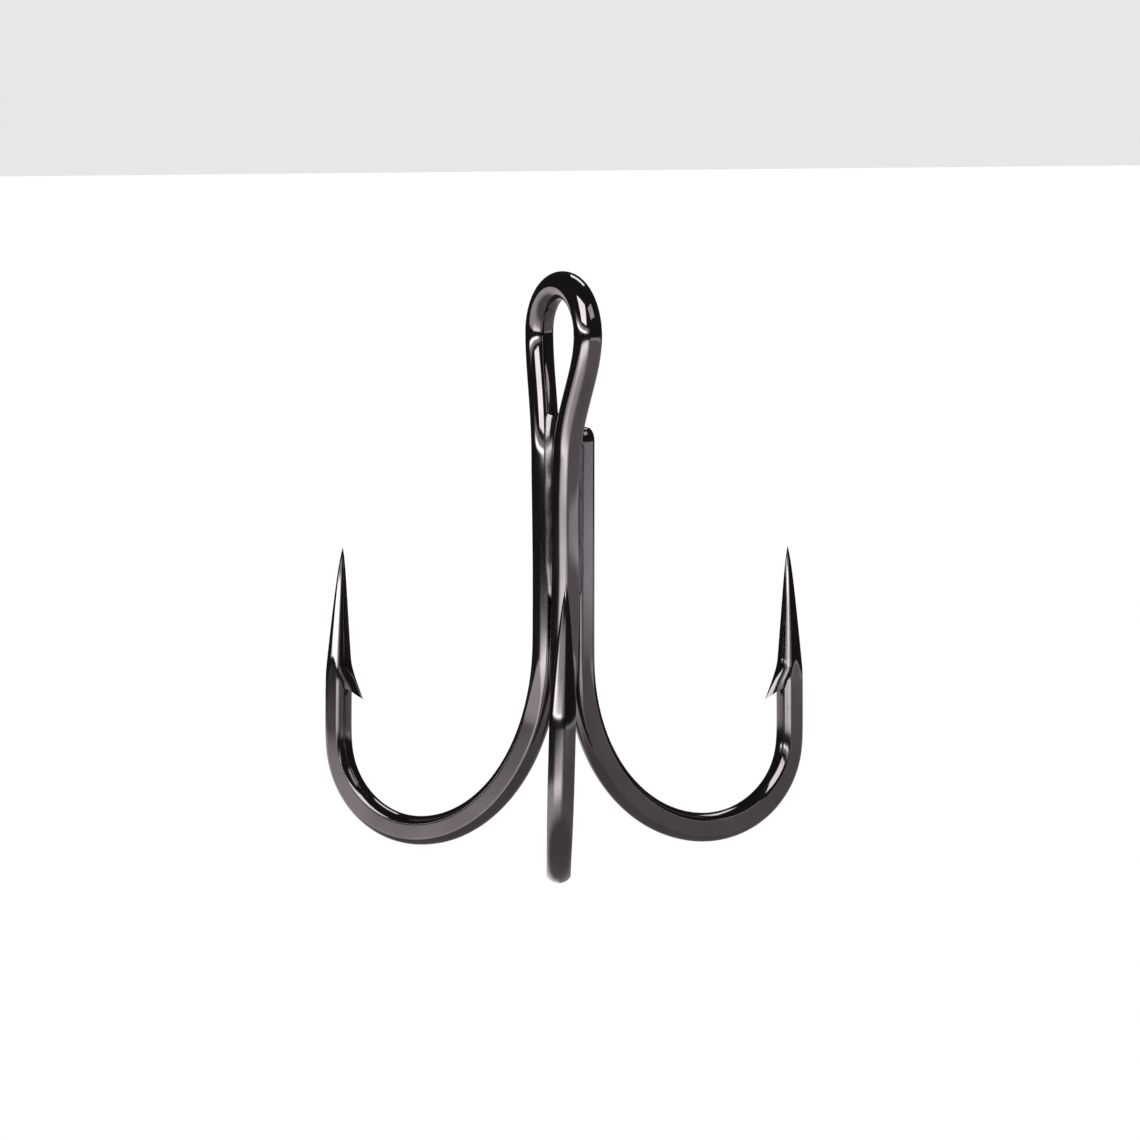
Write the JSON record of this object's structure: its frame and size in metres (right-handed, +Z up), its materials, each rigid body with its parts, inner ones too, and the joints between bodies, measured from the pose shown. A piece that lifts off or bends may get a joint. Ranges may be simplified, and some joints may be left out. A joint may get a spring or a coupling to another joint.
{
  "type": "treble hook",
  "caption": "Barbed treble fishing hook of spring wire, brazed along its shank, with a closed eye for a split ring, round bends with pressed side flats, and needle points.",
  "frame": {"origin": "centre of the eye, where a split ring holds the hook", "axes": "+Z up the shank towards the crown of the eye; the eye's hole runs along Y, and the separate third hook opens towards +Y; X runs across the eye, between the two hooks of the eyed wire"},
  "size_m": [0.0416, 0.0366, 0.0501],
  "materials": {
    "black_nickel": "glossy black nickel plate over high-carbon steel wire",
    "plated_braze": "black nickel plate over silver braze, slightly duller and rippled"
  },
  "bodies": {
    "root": {"eyed_double_hook": "black_nickel", "single_hook": "black_nickel", "braze_core": "plated_braze", "braze_fillet_double": "plated_braze", "braze_fillet_plus_x": "plated_braze", "braze_fillet_minus_x": "plated_braze"}
  },
  "joints": []
}
